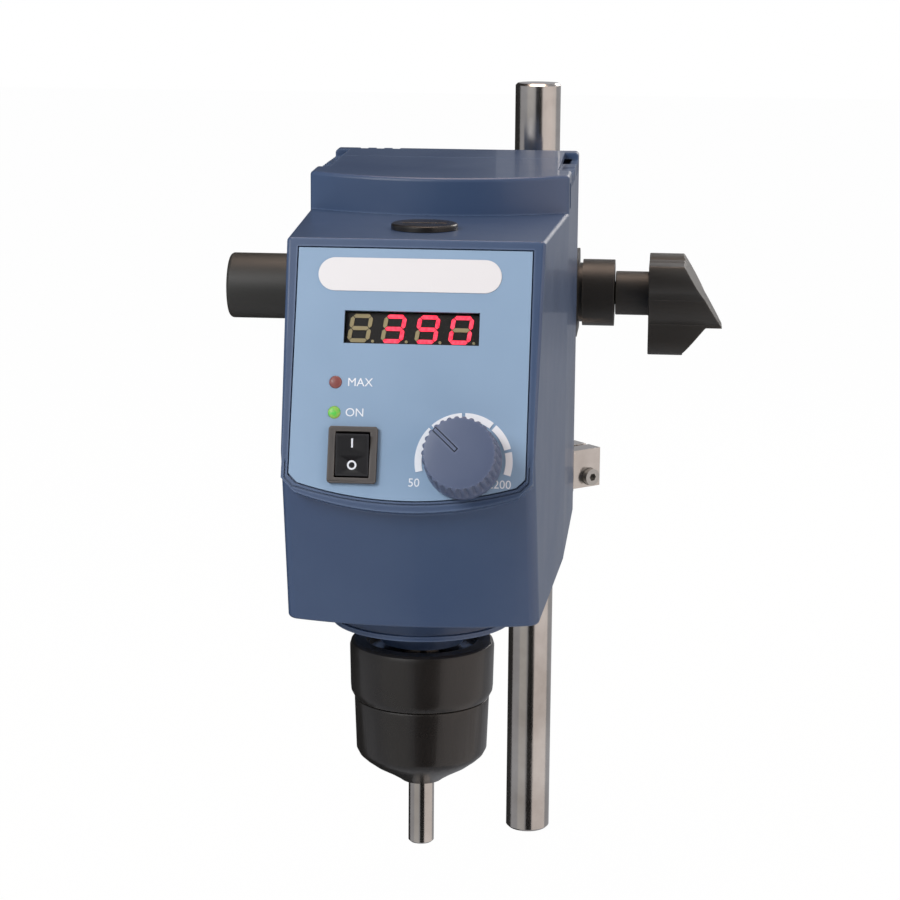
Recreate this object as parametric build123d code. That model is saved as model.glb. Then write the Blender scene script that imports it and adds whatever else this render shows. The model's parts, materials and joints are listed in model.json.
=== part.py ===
from build123d import *
from math import cos, radians, sin, tan
import os

os.makedirs("parts", exist_ok=True)

# Overhead stirrer in millimetres. X is to the right, +Y to the back, +Z up.
# The origin is on the stirring axis, at the lower end of the stirring shaft.

# Head outline
bottom_z = 79.5
ledge_z = 193.0
hump_front_z = 204.0
hump_rear_z = 206.3
ledge_front_y = -25.0
bend_y = 47.0
rear_y = 117.0
half_front = 37.6
half_bend = 41.2
half_rear = 41.5
wall = 2.2
parting_y = 91.0
parting_gap = 0.3
cover_screw_x = 33.5
cover_screw_z = (90.0, 178.0)
hump_bow = 13.0
low_corner_y = -27.7
low_centre_y = -35.3
low_half = 42.0
low_lean = 19.0
panel_lean = 20.3
edge_round = 1.2
louvre_width = 4.4
louvre_drop = 4.5
louvre_recess = 1.2
louvre_start_y = 60.0
louvre_end_y = 110.0
jack_x = -20.0
jack_z = 105.0
jack_r = 5.5
corner_round = 4.0
bezel_low_z = 125.0

# Bezel and panel, in the plane of the panel: u to the right, v up from its top line
bezel_top_v = -0.1
bezel_corner_v = -74.3
bezel_centre_v = -79.5
bezel_half = 36.1
bezel_depth = 5.0
panel_half = 33.9
panel_top_v = -2.9
panel_corner_v = -71.5
panel_centre_v = -76.1
panel_round = 2.5
panel_thick = 1.2
panel_gap = 0.4
plate_v = -10.6
plate_u = -1.3
plate_width = 53.1
plate_height = 9.8
plate_thick = 0.3
display_u = -0.2
display_v = -26.0
display_width = 39.1
display_height = 9.6
digit_height = 8.0
digit_pitch = 9.8
digit_width = 5.4
digit_bar = 0.95
digit_slant = 7.0
digit_thick = 0.3
digit_base = -2.2
window_thick = 1.0
lamp_u = -21.5
overload_v = -42.3
power_v = -51.1
lamp_r = 1.8
switch_u = -15.6
switch_v = -63.4
switch_width = 14.2
switch_height = 16.4
switch_rim = 1.2
rocker_width = 9.5
rocker_height = 12.2
rocker_pin_r = 1.0
rocker_pin_w = -0.5
rocker_play = 0.5
rocker_end_play = 1.0
rocker_tip_cut = 0.35
knob_u = 16.2
knob_v = -64.4
knob_r = 11.0
knob_height = 16.5
knob_gap = 0.8
dial_r_in = 12.0
dial_r_out = 14.0
dial_thick = 0.25
pot_shaft_r = 3.0
pot_r = 8.0
pot_depth = 7.0
board_depth = 11.0
board_thick = 1.6
board_width = 63.0
board_height = 39.5
board_v = -33.75
board_screw_u = 29.0
board_screw_v = (-17.5, -50.0)
fit_gap = 0.05
slip_gap = 0.2

# Cap, spindle and chuck, all on the stirring axis
cap_r = 10.0
cap_plug_r = 8.8
cap_height = 1.8
cap_plug = 4.0
shaft_r = 4.0
shaft_top_z = 120.0
spindle_r = 6.0
spindle_bore_r = 4.08
spindle_top_z = 184.0
spindle_low_z = 52.0
flange_r = 27.8
flange_rim_z = 72.9
flange_rim = 1.6
flange_top_r = 26.0
collar_r = 12.9
collar_z = 65.8
carrier_r = 13.0
carrier_wall = 2.5
carrier_flange_r = 25.0
carrier_flange = 3.0
carrier_top_z = 146.0
bearing_height = 5.0
bearing_lower_z = 87.0
bearing_upper_z = 138.0
ball_r = 1.3
ball_count = 9
ring_top_z = 66.3
ring_step_z = 50.2
ring_bottom_z = 48.3
chuck_head_z = 52.0
ring_r = 22.3
ring_inner_r = 17.2
sleeve_top_z = 48.0
sleeve_r = 20.85
sleeve_low_r = 20.25
sleeve_cavity_r = 16.5
nose_z = 20.8
nose_hole_r = 5.8
chuck_core_r = 13.0
chuck_head_r = 16.9
chuck_core_z = 31.0
jaw_r = 2.3
jaw_lean = 12.0
jaw_tip_z = 25.5
jaw_length = 25.0
jaw_travel = 5.0
nut_low_z = 39.0
nut_height = 6.0

# Drive inside the head
deck_z = 139.0
deck_thick = 3.0
deck_half = 32.0
deck_front_y = -18.0
deck_rear_y = 108.0
boss_x = 28.0
boss_front_y = -11.0
boss_rear_y = 82.0
boss_r = 3.6
motor_y = 52.0
motor_r = 22.0
motor_height = 40.0
motor_shaft_r = 2.5
motor_wall = 1.5
stator_r_in = 13.0
pulley_z = 150.0
belt_width = 7.0
spindle_pulley_r = 18.0
motor_pulley_r = 9.0
belt_thick = 1.6
belt_gap = 0.15
pulley_lip = 1.4

# Arm, stand, clamp and stop collar
arm_r = 7.0
arm_z = 153.0
arm_end_y = 185.0
arm_start_y = 88.0
arm_block_half = 15.0
arm_screw_x = 11.0
arm_screw_y = (94.0, 103.0)
arm_lock_y = 98.0
rod_x = 25.5
rod_y = 147.0
rod_r = 8.0
rod_low_z = -49.0
rod_high_z = 227.0
clamp_half_y = 15.0
clamp_low_z = 138.5
clamp_high_z = 167.5
clamp_left_x = -16.0
clamp_right_x = 41.0
clamp_boss_r = 11.85
clamp_boss_x = 53.9
left_boss_x = -22.0
knob_left_x = -84.7
knob_left_r = 11.75
knob_left_length = 42.0
lobe_start_x = 66.1
lobe_end_x = 92.4
lobe_neck_r = 7.8
lobe_reach = 22.0
lobe_flat = 12.0
lobe_width = 13.0
lobe_slant_x = 78.5
lobe_step_x = 86.5
lobe_step = 11.2
clamp_screw_r = 4.0
stop_low_z = 79.9
stop_high_z = 94.1
stop_r = 15.0
stop_angle = 41.0
stop_ear = 25.5
stop_screw_r = 3.05
stop_screw_x = 20.5
stop_screw_drop = -3.2

panel = Plane(
    origin=(0, ledge_front_y, ledge_z),
    x_dir=(1, 0, 0),
    z_dir=(0, -cos(radians(panel_lean)), sin(radians(panel_lean))),
)


def save(name, shape):
    """Write one node."""
    shape.label = name
    export_step(shape, f"parts/{name}.step")


def block(x0, x1, y0, y1, z0, z1):
    """A box between two corners."""
    middle = Pos((x0 + x1) / 2, (y0 + y1) / 2, (z0 + z1) / 2)
    return middle * Box(x1 - x0, y1 - y0, z1 - z0)


def post(r, z0, z1, x=0.0, y=0.0):
    """An upright cylinder."""
    return Pos(x, y, (z0 + z1) / 2) * Cylinder(r, z1 - z0)


def tube(r_out, r_in, z0, z1, x=0.0, y=0.0):
    """An upright tube."""
    return post(r_out, z0, z1, x, y) - post(r_in, z0 - 1, z1 + 1, x, y)


def bar_x(r, x0, x1, y, z):
    """A cylinder along X."""
    return Pos((x0 + x1) / 2, y, z) * Rot(0, 90, 0) * Cylinder(r, x1 - x0)


def bar_y(r, y0, y1, x, z):
    """A cylinder along Y."""
    return Pos(x, (y0 + y1) / 2, z) * Rot(90, 0, 0) * Cylinder(r, y1 - y0)


def turned(points):
    """A solid turned about the stirring axis from (radius, height) points."""
    outline = make_face(Plane.XZ * Polyline(*points, close=True))
    return revolve(outline, Axis.Z)


def on_panel(u, v, w0, w1, shape):
    """A flat outline raised from height w0 to w1 over the panel's plane."""
    return panel * Pos(u, v, w0) * extrude(shape, w1 - w0)


def half_width(y):
    """Half the head's width at a depth."""
    if y <= bend_y:
        slope = (half_bend - half_front) / (bend_y - ledge_front_y)
        return half_front + slope * (y - ledge_front_y)
    return half_bend + (half_rear - half_bend) * (y - bend_y) / (rear_y - bend_y)


def plan_prism(inset, z0, z1, front_y):
    """The head's plan, drafted at the front, between two heights."""
    back = rear_y - inset
    right = [(half_width(y) - inset, y) for y in (front_y, bend_y, back)]
    left = [(-x, y) for x, y in reversed(right)]
    return Pos(0, 0, z0) * extrude(make_face(Polyline(*right, *left, close=True)), z1 - z0)


def lower_limit(inset):
    """The space behind the bowed, leaning lower front."""
    shift = inset / cos(radians(low_lean))
    corner = (low_half, low_corner_y + shift)
    wide = half_rear + 10
    side_y = corner[1] + 8
    edge = [
        ThreePointArc((-corner[0], corner[1]), (0, low_centre_y + shift), corner),
        Polyline(corner, (wide, side_y), (wide, rear_y + 80), (-wide, rear_y + 80), (-wide, side_y),
                 (-corner[0], corner[1])),
    ]
    lean = (0, -tan(radians(low_lean)), 1)
    rise = ledge_z - bottom_z + 20
    low_face = make_face(edge)
    return Pos(0, 0, bottom_z) * extrude(low_face, rise / cos(radians(low_lean)), dir=lean)


def hump_prism(inset, z0):
    """The raised rear block with its bowed front."""
    front = bend_y + inset
    half = half_bend - inset
    back = rear_y - inset
    rear_half = half_rear - inset
    edge = [
        ThreePointArc((-half, front), (0, front - hump_bow), (half, front)),
        Polyline((half, front), (rear_half, back), (-rear_half, back), (-half, front)),
    ]
    solid = Pos(0, 0, z0) * extrude(make_face(edge), hump_rear_z + 5 - z0)
    slope = [
        (0, hump_front_z - inset), (rear_y + 5, hump_rear_z - inset),
        (rear_y + 5, hump_rear_z + 20), (0, hump_rear_z + 20),
    ]
    side = Plane.YZ * make_face(Polyline(*slope, close=True))
    return solid - extrude(side, half_rear + 10, both=True)


def low_form(inset):
    """The head below the ledge, with every face moved inwards by the inset."""
    low = plan_prism(inset, bottom_z + inset, ledge_z - inset, ledge_front_y - 45)
    front = panel * Pos(0, 0, 50 - inset) * Box(300, 300, 100)
    return (low & lower_limit(inset)) - front


def head_form(inset):
    """The head as a solid, with every face moved inwards by the inset."""
    return low_form(inset) + hump_prism(inset, bottom_z + inset + 5)


def rounded(solid, radius, chosen):
    """The solid with the edges whose middle is chosen rounded off."""
    return fillet([e for e in solid.edges() if chosen(e.position_at(0.5))], radius)


def outer_form():
    """The head's outside with its rounded edges."""
    side = half_front - corner_round - 1
    low = low_form(0)
    low = rounded(low, corner_round, lambda c: abs(c.X) > side and c.Y < low_corner_y and c.Z < bezel_low_z)
    low = rounded(low, edge_round, lambda c: abs(c.X) > side and c.Y < ledge_front_y and c.Z > bezel_low_z)
    low = rounded(low, edge_round, lambda c: abs(c.Z - ledge_z) < 0.1 and c.Y < rear_y - 1)
    form = low + hump_prism(0, bottom_z + 5)
    form = rounded(form, 2 * edge_round, lambda c: abs(c.X) > side and abs(c.Y - bend_y) < 0.1 and c.Z > ledge_z)
    form = rounded(form, edge_round, lambda c: abs(c.X) > side and abs(c.Y - rear_y) < 0.2 and c.Z < ledge_z)
    form = rounded(form, edge_round, lambda c: c.Z > hump_front_z - 0.5 and c.Y > 0)
    return rounded(form, edge_round, lambda c: abs(c.Z - bottom_z) < 0.1)


def shield(half, top_v, corner_v, centre_v, radius):
    """An outline with a straight top and a bowed lower edge."""
    side_v = corner_v + radius
    edge = [
        Line((-half, top_v), (half, top_v)),
        Line((half, top_v), (half, side_v)),
        Line((half, side_v), (half - radius, corner_v)),
        ThreePointArc((half - radius, corner_v), (0, centre_v), (radius - half, corner_v)),
        Line((radius - half, corner_v), (-half, side_v)),
        Line((-half, side_v), (-half, top_v)),
    ]
    return make_face(edge)


def panel_outline(grow=0.0):
    """The panel's own outline."""
    return shield(panel_half + grow, panel_top_v + grow, panel_corner_v - grow,
                  panel_centre_v - grow, panel_round)


def knob_place(w=0.0):
    """The speed knob's axis on the panel."""
    return panel * Pos(knob_u, knob_v, w)


def panel_holes(w0, w1, extra=0.0):
    """Holes through the panel for the display, lamps, switch and control shaft."""
    window = Rectangle(display_width + 2 * extra, display_height + 2 * extra)
    body = Rectangle(switch_width - 2 * switch_rim + 2 * extra, switch_height - 2 * switch_rim + 2 * extra)
    cuts = on_panel(display_u, display_v, w0, w1, window)
    cuts += on_panel(lamp_u, overload_v, w0, w1, Circle(lamp_r + fit_gap + extra))
    cuts += on_panel(lamp_u, power_v, w0, w1, Circle(lamp_r + fit_gap + extra))
    cuts += on_panel(switch_u, switch_v, w0, w1, body)
    cuts += on_panel(knob_u, knob_v, w0, w1, Circle(pot_shaft_r + 1.2 + extra))
    return cuts


def louvre_slots(y0, y1):
    """Air slots along both upper side edges of the hump."""
    slot = 2.2
    pitch = 4.6
    slots = []
    count = int((y1 - y0 - slot) / pitch) + 1
    for i in range(count):
        y = y0 + i * pitch
        for side in (-1, 1):
            outer = side * (half_bend + 1)
            inner = side * (half_bend - louvre_width + 0.6)
            slots.append(block(min(outer, inner), max(outer, inner), y, y + slot,
                               hump_front_z - louvre_drop, hump_rear_z + 1))
    return slots


def louvre_recesses():
    """The shallow recess that the air slots lie in, on both sides."""
    cuts = []
    for side in (-1, 1):
        outer = side * (half_rear + 1)
        inner = side * (half_bend - louvre_width)
        cuts.append(block(min(outer, inner), max(outer, inner), louvre_start_y, louvre_end_y,
                          hump_front_z - louvre_recess + 0.8, hump_rear_z + 2))
    return cuts


def corner_notches():
    """The air notches behind the fins at the hump's front corners."""
    cuts = []
    for side in (-1, 1):
        outer = side * (half_bend + 1)
        inner = side * (half_bend - 3.4)
        cuts.append(block(min(outer, inner), max(outer, inner), bend_y + 3.0, bend_y + 10.0,
                          ledge_z + 0.5, hump_front_z - 2.2))
    return cuts


def bezel():
    """The raised frame round the panel."""
    outline = shield(bezel_half, bezel_top_v, bezel_corner_v, bezel_centre_v, panel_round + 1.5)
    slab = on_panel(0, 0, -bezel_depth, 0, outline)
    step_groove = on_panel(0, 0, -0.5, 1, panel_outline(1.35)) - on_panel(0, 0, -2, 2, panel_outline(0.9))
    return slab - step_groove


def bosses(r, z0, z1):
    """The four columns that carry the deck."""
    places = [(x, y) for x in (-boss_x, boss_x) for y in (boss_front_y, boss_rear_y)]
    return [post(r, z0, z1, x, y) for x, y in places]


def cover_screw_places():
    """Where the rear cover is screwed on."""
    return [(x, z) for x in (-cover_screw_x, cover_screw_x) for z in cover_screw_z]


def front_housing():
    """Front shell with bezel, ledge, hump front and floor."""
    outer = outer_form()
    keep = block(-60, 60, -80, parting_y - parting_gap / 2, bottom_z - 5, hump_rear_z + 10)
    shell = (outer & keep) + bezel()
    shell -= head_form(wall) & block(-60, 60, -80, parting_y + 5, bottom_z, hump_rear_z)
    shell -= on_panel(0, 0, -panel_thick, 5, panel_outline(panel_gap))
    shell -= panel_holes(-15, 5, extra=0.6)
    shell -= post(cap_plug_r + 0.1, ledge_z - 8, ledge_z + 1)
    shell -= post(carrier_r + slip_gap, bottom_z - 1, bottom_z + wall + 1)
    for x, y in flange_screw_places():
        shell -= post(1.7, bottom_z - 1, bottom_z + wall + 1, x, y)
    for cut in louvre_recesses() + louvre_slots(louvre_start_y + 1, parting_y - 4) + corner_notches():
        shell -= cut
    for column in bosses(boss_r, bottom_z + 1, deck_z):
        shell += column
    for bore in bosses(1.5, deck_z - 9, deck_z + 1):
        shell -= bore
    for x, z in cover_screw_places():
        lug = bar_y(3.4, parting_y - 12, parting_y - 4.5, x, z)
        reach = x + (7 if x > 0 else -7)
        rib = block(min(x, reach), max(x, reach), parting_y - 12, parting_y - 4.5, z - 3, z + 3)
        shell += (lug + rib) & head_form(wall / 2)
        shell -= bar_y(1.3, parting_y - 11.5, parting_y, x, z)
    for u, v in board_screw_places():
        shell += on_panel(u, v, -board_depth, -panel_thick - 0.5, Circle(2.8)) & head_form(wall / 2)
        shell -= on_panel(u, v, -board_depth - 1, -board_depth + 6, Circle(1.1))
    return shell


def rear_cover():
    """Rear shell with its tongue, air slots, arm hole and power hole."""
    lip_in = wall + 0.15
    lip_out = lip_in + 1.3
    front = parting_y + parting_gap / 2
    behind = block(-60, 60, front, rear_y + 5, bottom_z - 5, hump_rear_z + 10)
    shell = (outer_form() - head_form(wall)) & behind
    lip = head_form(lip_in) - head_form(lip_out)
    root = head_form(wall / 2) - head_form(lip_out)
    shell += lip & block(-60, 60, parting_y - 3, front + 1, bottom_z - 5, hump_rear_z + 10)
    shell += root & block(-60, 60, front, front + 3, bottom_z - 5, hump_rear_z + 10)
    for cut in louvre_recesses() + louvre_slots(parting_y + 5.5, louvre_end_y - 1):
        shell -= cut
    for i in range(3):
        x = -33.6 + i * 5.5
        shell -= block(x, x + 2.8, rear_y - wall - 1, rear_y + 1, hump_rear_z - 22, hump_rear_z + 1)
    for i in range(9):
        x = -20.0 + i * 5.0
        shell -= block(x - 1.1, x + 1.1, rear_y - wall - 1, rear_y + 1, 168.0, 192.0)
    shell -= bar_y(arm_r + slip_gap, rear_y - 10, rear_y + 10, 0, arm_z)
    shell -= bar_y(jack_r + 0.1, rear_y - 10, rear_y + 10, jack_x, jack_z)
    for x, z in cover_screw_places():
        shell += bar_y(3.6, parting_y - 4, rear_y - wall / 2, x, z) & head_form(wall / 2)
        shell -= bar_y(1.7, parting_y - 6, rear_y + 1, x, z)
        shell -= bar_y(3.1, parting_y + 4, rear_y + 1, x, z)
    return shell


def cover_screws():
    """Four long screws that hold the rear cover."""
    screws = []
    for x, z in cover_screw_places():
        head = bar_y(2.8, parting_y + 4, parting_y + 6.5, x, z)
        shank = bar_y(1.3, parting_y - 10, parting_y + 4.5, x, z)
        recess = bar_y(1.0, parting_y + 5, parting_y + 7, x, z)
        screws.append(head + shank - recess)
    return Compound(children=screws)


def power_jack():
    """Round low-voltage inlet in the rear cover."""
    back = rear_y + 1.2
    barrel = bar_y(jack_r, rear_y - 11, back, jack_x, jack_z)
    rim = bar_y(jack_r + 1.5, rear_y, back, jack_x, jack_z)
    return barrel + rim - bar_y(2.85, rear_y - 8, back + 1, jack_x, jack_z)


def jack_pin():
    """The inlet's centre pin."""
    return bar_y(1.05, rear_y - 8, rear_y, jack_x, jack_z)


def front_panel():
    """The light plate with its holes."""
    return on_panel(0, 0, -panel_thick, 0, panel_outline()) - panel_holes(-3, 3)


def name_plate():
    """The bare white plate at the top of the panel."""
    return on_panel(plate_u, plate_v, 0, plate_thick, SlotOverall(plate_width, plate_height))


def digit_segments(kind):
    """Seven bars of one slanted digit, those in the kind's list."""
    h = digit_height / 2 - digit_bar / 2
    w = digit_width / 2 - digit_bar / 2
    bar_h = h - digit_bar - 0.1
    bar_w = 2 * w - digit_bar - 0.1
    lean = tan(radians(digit_slant))
    spots = {
        "a": (0, h, True), "g": (0, 0, True), "d": (0, -h, True),
        "f": (-w, h / 2, False), "b": (w, h / 2, False),
        "e": (-w, -h / 2, False), "c": (w, -h / 2, False),
    }
    bars = []
    for key in kind:
        x, y, flat = spots[key]
        size = (bar_w, digit_bar) if flat else (digit_bar, bar_h)
        bars.append(Pos(x + y * lean, y) * Rot(0, 0, 0 if flat else -digit_slant) * Rectangle(*size))
    return bars


def display_digits(places, kinds):
    """Raised digit bars on the display's face."""
    bars = []
    for place, kind in zip(places, kinds):
        u = display_u + (place - 1.5) * digit_pitch
        for bar in digit_segments(kind):
            bars.append(on_panel(u - 0.4, display_v, digit_base, digit_base + digit_thick, bar))
    return Compound(children=bars)


def display_module():
    """The block of the four-digit display, on the control board."""
    shape = Rectangle(display_width - 0.2, display_height - 0.2)
    return on_panel(display_u, display_v, -board_depth, digit_base, shape)


def display_window():
    """The clear cover in the panel's display cut-out."""
    shape = Rectangle(display_width - 0.1, display_height - 0.1)
    return on_panel(display_u, display_v, -0.1 - window_thick, -0.1, shape)


def board_screw_places():
    """Where the control board is screwed on."""
    return [(u, v) for u in (-board_screw_u, board_screw_u) for v in board_screw_v]


def control_board():
    """The board behind the panel."""
    outline = Pos(0, board_v) * Rectangle(board_width, board_height)
    board = on_panel(0, 0, -board_depth - board_thick, -board_depth, outline)
    for u, v in board_screw_places():
        board -= on_panel(u, v, -board_depth - 3, -board_depth + 1, Circle(1.6))
    chip = on_panel(8, -42, -board_depth - board_thick - 1.6, -board_depth - board_thick,
                    Rectangle(12, 12))
    socket = on_panel(-14, -44, -board_depth - board_thick - 5, -board_depth - board_thick,
                      Rectangle(16, 6))
    return board + chip + socket


def board_screws():
    """Four screws of the control board."""
    back = -board_depth - board_thick
    screws = []
    for u, v in board_screw_places():
        head = on_panel(u, v, back - 1.8, back, Circle(2.5))
        screws.append(head + on_panel(u, v, back - 0.5, -board_depth + 4.5, Circle(1.1)))
    return Compound(children=screws)


def lamp_lens(v):
    """A round lamp lens that stands proud of the panel."""
    lens = on_panel(lamp_u, v, -board_depth, 0.6, Circle(lamp_r))
    return lens


def dial_segments():
    """Five arc bars of the scale round the knob."""
    marks = [(-16, 13), (17, 50), (54, 90), (94, 133), (137, 194)]
    bars = []
    for start, end in marks:
        middle = radians((start + end) / 2)
        a0, a1 = radians(start), radians(end)
        edge = [
            ThreePointArc(polar(dial_r_in, a0), polar(dial_r_in, middle), polar(dial_r_in, a1)),
            Line(polar(dial_r_in, a1), polar(dial_r_out, a1)),
            ThreePointArc(polar(dial_r_out, a1), polar(dial_r_out, middle), polar(dial_r_out, a0)),
            Line(polar(dial_r_out, a0), polar(dial_r_in, a0)),
        ]
        bars.append(on_panel(knob_u, knob_v, 0, dial_thick, make_face(edge)))
    return Compound(children=bars)


def polar(r, angle):
    """A flat point from its radius and angle."""
    return (r * cos(angle), r * sin(angle))


def potentiometer():
    """The speed control's body behind the panel, with its threaded neck."""
    back = -panel_thick - wall
    body = on_panel(knob_u, knob_v, back - pot_depth, back, Circle(pot_r))
    neck = on_panel(knob_u, knob_v, back, -0.2, Circle(pot_shaft_r + 1.0))
    return body + neck - on_panel(knob_u, knob_v, back - pot_depth + 1, 1, Circle(pot_shaft_r + fit_gap))


def pot_shaft():
    """The speed control's shaft."""
    return on_panel(knob_u, knob_v, -panel_thick - wall - pot_depth + 1.2, knob_gap + 9, Circle(pot_shaft_r))


def speed_knob():
    """The fluted speed knob with a tapered top."""
    w0 = knob_gap
    skirt = knob_place(w0) * extrude(Circle(knob_r), 4.5)
    body = knob_place(w0 + 4.0) * extrude(Circle(knob_r - 0.6), knob_height - 4.0, taper=4.5)
    knob = skirt + body
    flutes = 28
    for i in range(flutes):
        angle = 360 * i / flutes
        groove = Rot(0, 0, angle) * Pos(knob_r + 0.15, 0, knob_height / 2) * Cylinder(0.6, knob_height - 1.2)
        knob -= knob_place(w0) * groove
    knob -= on_panel(knob_u, knob_v, w0 - 1, w0 + 9, Circle(pot_shaft_r + fit_gap))
    pointer = Rot(0, 0, 47) * Pos(0, knob_r / 2 - 0.6, knob_height) * Box(1.3, knob_r - 3.2, 1.0)
    return knob - knob_place(w0) * pointer


def knob_pointer():
    """The line inlaid in the knob's face."""
    line = Rot(0, 0, 47) * Pos(0, knob_r / 2 - 0.6, knob_height - 0.15) * Box(1.2, knob_r - 3.3, 0.6)
    return knob_place(knob_gap) * line


def switch_frame():
    """The rocker switch's frame and body."""
    rim = on_panel(switch_u, switch_v, 0, 1.6, RectangleRounded(switch_width, switch_height, 0.9))
    inside = Rectangle(switch_width - 2 * switch_rim - 0.2, switch_height - 2 * switch_rim - 0.2)
    body = on_panel(switch_u, switch_v, -15, 0.5, inside)
    well = Rectangle(rocker_width + rocker_play, rocker_height + rocker_end_play)
    pin_hole = Cylinder(rocker_pin_r + fit_gap, rocker_width + 2.0)
    pivot = Pos(switch_u, switch_v, rocker_pin_w) * Rot(0, 90, 0) * pin_hole
    return rim + body - on_panel(switch_u, switch_v, -9, 3, well) - panel * pivot


def switch_rocker():
    """The rocker, tilted with its lower half pressed in."""
    half = rocker_height / 2
    tip = half - rocker_tip_cut
    profile = [
        (-half, 1.0), (0, 1.9), (tip, 1.9 + 1.4 * tip / half), (half - 0.6, -1.5), (1.5, -6.5),
        (-1.5, -6.5), (-half + 0.8, -1.5),
    ]
    face = make_face(Polyline(*profile, close=True))
    solid = extrude(Plane.YZ * face, rocker_width / 2, both=True)
    solid += Pos(0, 0, rocker_pin_w) * Rot(0, 90, 0) * Cylinder(rocker_pin_r, rocker_width + 1.6)
    rocker = panel * Pos(switch_u, switch_v, 0) * solid
    for mark in mark_shapes():
        rocker -= mark
    return rocker


def mark_shapes():
    """The plain I and O on the rocker's face."""
    upper = panel * Pos(switch_u, switch_v + 3.2, 2.65) * Rot(13, 0, 0)
    lower = panel * Pos(switch_u, switch_v - 3.0, 1.5) * Rot(8.5, 0, 0)
    bar = upper * Box(0.5, 2.6, 0.24)
    ring = lower * (Cylinder(1.35, 0.24) - Cylinder(0.85, 1))
    return [bar, ring]


def rocker_marks():
    """The inlaid marks."""
    return Compound(children=mark_shapes())


def top_cap():
    """The cap over the hollow spindle, with a slot across its top."""
    cap = post(cap_r, ledge_z, ledge_z + cap_height)
    cap = fillet(cap.edges().filter_by(GeomType.CIRCLE).sort_by(Axis.Z)[-1], 0.6)
    cap += tube(cap_plug_r, cap_plug_r - 1.6, ledge_z - cap_plug, ledge_z + 0.5)
    top = ledge_z + cap_height
    return cap - block(-6.5, 6.5, -0.7, 0.7, top - 0.7, top + 1)


def flange_screw_places():
    """Where the lower flange is screwed to the carrier."""
    r = 20.0
    return [(r * cos(radians(a)), r * sin(radians(a))) for a in (45, 135, 225, 315)]


def lower_flange():
    """The flange under the head, with its collar inside the chuck ring."""
    rim_top = flange_rim_z + flange_rim
    bore = spindle_r + 1.0
    points = [
        (bore, bottom_z), (flange_top_r, bottom_z), (flange_r - 0.8, rim_top), (flange_r, rim_top),
        (flange_r, flange_rim_z), (collar_r, flange_rim_z), (collar_r, collar_z), (bore, collar_z),
    ]
    flange = turned(points)
    for x, y in flange_screw_places():
        flange -= post(1.3, flange_rim_z + 1.2, bottom_z + 1, x, y)
    return flange


def flange_screws():
    """Four screws through the carrier and the floor into the flange."""
    seat = bottom_z + wall + carrier_flange
    screws = []
    for x, y in flange_screw_places():
        head = post(2.75, seat, seat + 2.4, x, y)
        socket = Pos(x, y, seat + 2.4) * extrude(RegularPolygon(1.2, 6), -1.4)
        screws.append(head + post(1.3, flange_rim_z + 2, seat + 0.5, x, y) - socket)
    return Compound(children=screws)


def spindle_carrier():
    """The bearing tube that stands on the floor and passes the deck."""
    floor = bottom_z + wall
    carrier = post(carrier_r, floor, carrier_top_z) + post(carrier_flange_r, floor, floor + carrier_flange)
    carrier -= post(spindle_r + 1.2, floor - 1, carrier_top_z + 1)
    seat_r = carrier_r - carrier_wall
    carrier -= post(seat_r, floor - 1, bearing_lower_z + bearing_height)
    carrier -= post(seat_r, bearing_upper_z, carrier_top_z + 1)
    for x, y in flange_screw_places():
        carrier -= post(1.7, floor - 1, floor + carrier_flange + 1, x, y)
    return carrier


def bearing_rings(r_out, r_in, groove):
    """The same ring of both spindle bearings."""
    rings = []
    race_r = (carrier_r - carrier_wall + spindle_r) / 2
    for z in (bearing_lower_z, bearing_upper_z):
        ring = tube(r_out, r_in, z, z + bearing_height)
        if groove:
            ring -= Pos(0, 0, z + bearing_height / 2) * Torus(race_r, ball_r + fit_gap)
        rings.append(ring)
    return Compound(children=rings)


def bearing_balls():
    """The balls of both spindle bearings."""
    race_r = (carrier_r - carrier_wall + spindle_r) / 2
    balls = []
    for z in (bearing_lower_z, bearing_upper_z):
        for i in range(ball_count):
            x, y = polar(race_r, radians(360 * i / ball_count))
            balls.append(Pos(x, y, z + bearing_height / 2) * Sphere(ball_r))
    return Compound(children=balls)


def hollow_spindle():
    """The tube that carries the chuck and lets the shaft slide through."""
    return tube(spindle_r, spindle_bore_r, spindle_low_z, spindle_top_z)


def snap_ring():
    """The ring that keeps the spindle in the lower bearing."""
    z = bearing_lower_z - 1.2
    return tube(spindle_r + 1.6, spindle_r, z, z + 1.0) - block(0, 12, -1.5, 1.5, z - 1, z + 2)


def pulley(r, bore, x, y):
    """A flat belt pulley with two lips."""
    top = pulley_z + belt_width
    wheel = post(r, pulley_z, top, x, y)
    for z in (pulley_z - 1.5, top):
        wheel += post(r + pulley_lip, z, z + 1.5, x, y)
    return wheel - post(bore, pulley_z - 5, top + 5, x, y)


def spindle_pulley():
    """The large pulley on the spindle."""
    wheel = pulley(spindle_pulley_r, spindle_r, 0, 0)
    for i in range(5):
        x, y = polar(12.0, radians(72 * i))
        wheel -= post(3.2, pulley_z - 5, pulley_z + 15, x, y)
    return wheel


def motor_pulley():
    """The small pulley on the motor."""
    return pulley(motor_pulley_r, motor_shaft_r, 0, motor_y)


def drive_belt():
    """The flat belt round both pulleys."""
    z0 = pulley_z + 0.5
    grow = belt_gap
    inner = make_hull((Circle(spindle_pulley_r + grow) + Pos(0, motor_y) * Circle(motor_pulley_r + grow)).edges())
    grow = belt_gap + belt_thick
    outer = make_hull((Circle(spindle_pulley_r + grow) + Pos(0, motor_y) * Circle(motor_pulley_r + grow)).edges())
    height = belt_width - 1.0
    return Pos(0, 0, z0) * extrude(outer, height) - Pos(0, 0, z0) * extrude(inner, height)


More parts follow.
